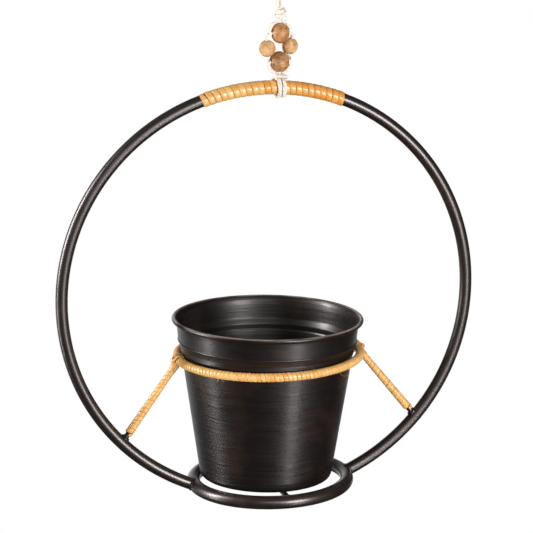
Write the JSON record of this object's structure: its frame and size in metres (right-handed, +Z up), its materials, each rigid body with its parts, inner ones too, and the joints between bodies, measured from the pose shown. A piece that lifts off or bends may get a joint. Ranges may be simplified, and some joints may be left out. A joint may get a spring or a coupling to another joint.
{
  "type": "hanging planter",
  "caption": "Round black metal plant pot standing in a tube hoop, its ring and arms bound with cane, hung on a knotted cotton cord with wooden beads.",
  "frame": {"origin": "top of the hanging eye in the cord, under the end knot, where the hook bears", "axes": "+Z up, +X to the right in the plane of the hoop, -Y to the front, square to the hoop"},
  "size_m": [0.3506, 0.158, 0.4679],
  "materials": {
    "black_frame": "black paint, satin, with a warm brown tint",
    "black_pot": "black paint on spun sheet steel, satin, with fine turning lines",
    "cane": "peeled cane strip, smooth and slightly glossy",
    "cotton": "natural cotton cord, twisted, matt",
    "bead_dark": "turned wooden bead, brown, waxed",
    "bead_pale": "turned wooden bead, pale, waxed"
  },
  "bodies": {
    "hanging_eye": {"end_knot": "cotton", "cord_eye_left": "cotton", "cord_eye_right": "cotton", "cord_tail_left": "cotton", "cord_tail_right": "cotton"},
    "beaded_cord": {"middle_knot": "cotton", "cord_strand_left": "cotton", "cord_strand_right": "cotton"},
    "hitch": {"cord_hitch": "cotton"},
    "hoop_frame": {"hoop_tube": "black_frame", "base_ring": "black_frame", "crossbar": "black_frame", "pot_ring_rod": "black_frame", "arm_rod_left": "black_frame", "arm_rod_right": "black_frame", "hoop_cane": "cane", "arm_cane_left": "cane", "arm_cane_right": "cane", "ring_lashing_left": "cane", "ring_lashing_right": "cane", "ring_cane_back": "cane", "ring_cane_front": "cane"},
    "plant_pot": {"pot": "black_pot"},
    "top_bead": {"bead_top": "bead_dark"},
    "bottom_bead": {"bead_bottom": "bead_dark"},
    "left_bead": {"bead_left": "bead_pale"},
    "right_bead": {"bead_right": "bead_pale"}
  },
  "joints": [
    {"name": "cord_twist", "type": "hinge", "parent": "hanging_eye", "child": "beaded_cord", "pos_m": [0, 0, -0.0535], "axis": [0, 0, 1], "range_deg": [-90, 90]},
    {"name": "hoop_rock", "type": "hinge", "parent": "beaded_cord", "child": "hitch", "pos_m": [0.0002, 0.0002, -0.1081], "axis": [0, 1, 0], "range_deg": [-12, 12]},
    {"name": "hoop_swing", "type": "hinge", "parent": "hitch", "child": "hoop_frame", "pos_m": [0.0002, 0, -0.11808], "axis": [0.9973, 0, -0.0739], "range_deg": [-20, 20]},
    {"name": "pot_lift", "type": "slide", "parent": "hoop_frame", "child": "plant_pot", "axis": [0.0262, 0, 0.9997], "range_m": [0, 0.11]},
    {"name": "top_bead_spin", "type": "hinge", "parent": "beaded_cord", "child": "top_bead", "pos_m": [0.0008, 0, -0.07425], "axis": [1, 0, 0], "continuous": true},
    {"name": "bottom_bead_spin", "type": "hinge", "parent": "beaded_cord", "child": "bottom_bead", "pos_m": [-0.0002, 0, -0.09725], "axis": [1, 0, 0], "continuous": true},
    {"name": "left_bead_spin", "type": "hinge", "parent": "beaded_cord", "child": "left_bead", "pos_m": [-0.01025, -0.0008, -0.0861], "axis": [-0.1045, 0, 0.9945], "continuous": true},
    {"name": "right_bead_spin", "type": "hinge", "parent": "beaded_cord", "child": "right_bead", "pos_m": [0.0095, 0.0036, -0.08565], "axis": [0.225, 0, 0.9744], "continuous": true}
  ]
}
